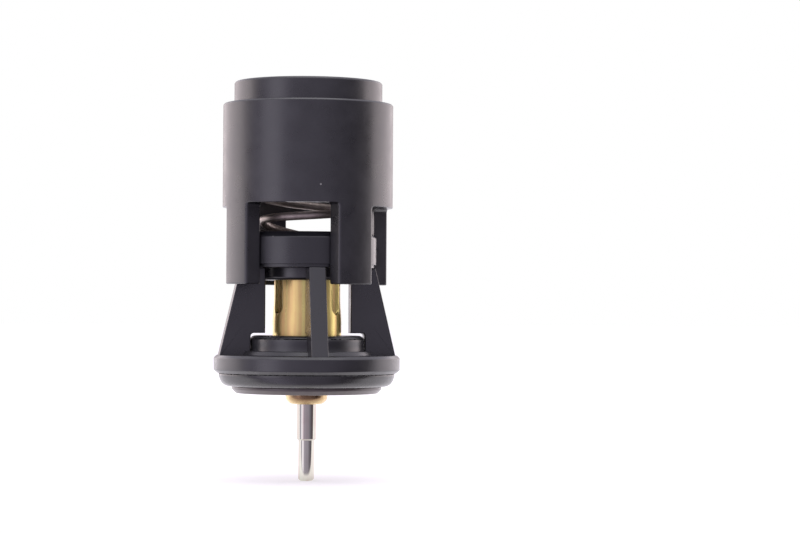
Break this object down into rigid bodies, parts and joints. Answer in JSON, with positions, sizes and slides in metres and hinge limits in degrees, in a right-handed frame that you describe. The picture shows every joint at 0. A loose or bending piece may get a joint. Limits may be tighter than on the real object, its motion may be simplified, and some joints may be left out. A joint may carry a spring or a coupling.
{
  "type": "engine thermostat",
  "caption": "Wax-element coolant valve: a plastic sleeve with side windows, and a sprung valve frame with a rubber-edged flange, a brass element and a steel pin below.",
  "frame": {"origin": "centre of the sleeve's shoulder plane, where the neck begins", "axes": "+Z along the part's axis towards the neck; one leg of the valve frame points along -Y"},
  "size_m": [0.054, 0.054, 0.1157],
  "materials": {
    "sleeve_plastic": "satin moulded",
    "frame_plastic": "satin moulded",
    "holder_plastic": "smooth moulded",
    "plate_plastic": "satin moulded",
    "seal_rubber": "smooth rubber",
    "inner_rubber": "smooth rubber",
    "cup_brass": "drawn, streaked",
    "guide_brass": "turned, dull",
    "pin_steel": "ground",
    "spring_steel": "drawn wire",
    "wax": "waxy",
    "washer_plastic": "plain"
  },
  "bodies": {
    "sleeve": {"sleeve": "sleeve_plastic", "return_spring": "spring_steel"},
    "valve": {"valve_frame": "frame_plastic", "bypass_collar": "frame_plastic", "element_holder": "holder_plastic", "main_seal": "seal_rubber", "seal_plate": "plate_plastic", "element_cup": "cup_brass", "wax_charge": "wax", "piston_boot": "inner_rubber", "backup_washer": "washer_plastic", "element_gasket": "inner_rubber", "piston_guide": "guide_brass", "guide_wiper": "inner_rubber"},
    "piston": {"piston_pin": "pin_steel"}
  },
  "joints": [
    {"name": "valve_lift", "type": "slide", "parent": "sleeve", "child": "valve", "axis": [0, 0, 1], "range_m": [0, 0.01], "stiffness_N_per_m": 1200, "springref_m": -0.005, "deforming": ["return_spring"]},
    {"name": "piston_stroke", "type": "slide", "parent": "valve", "child": "piston", "axis": [0, 0, -1], "range_m": [0, 0.01]}
  ],
  "couplings": [
    {"joint": "piston_stroke", "follows": "valve_lift", "ratio": 1}
  ]
}
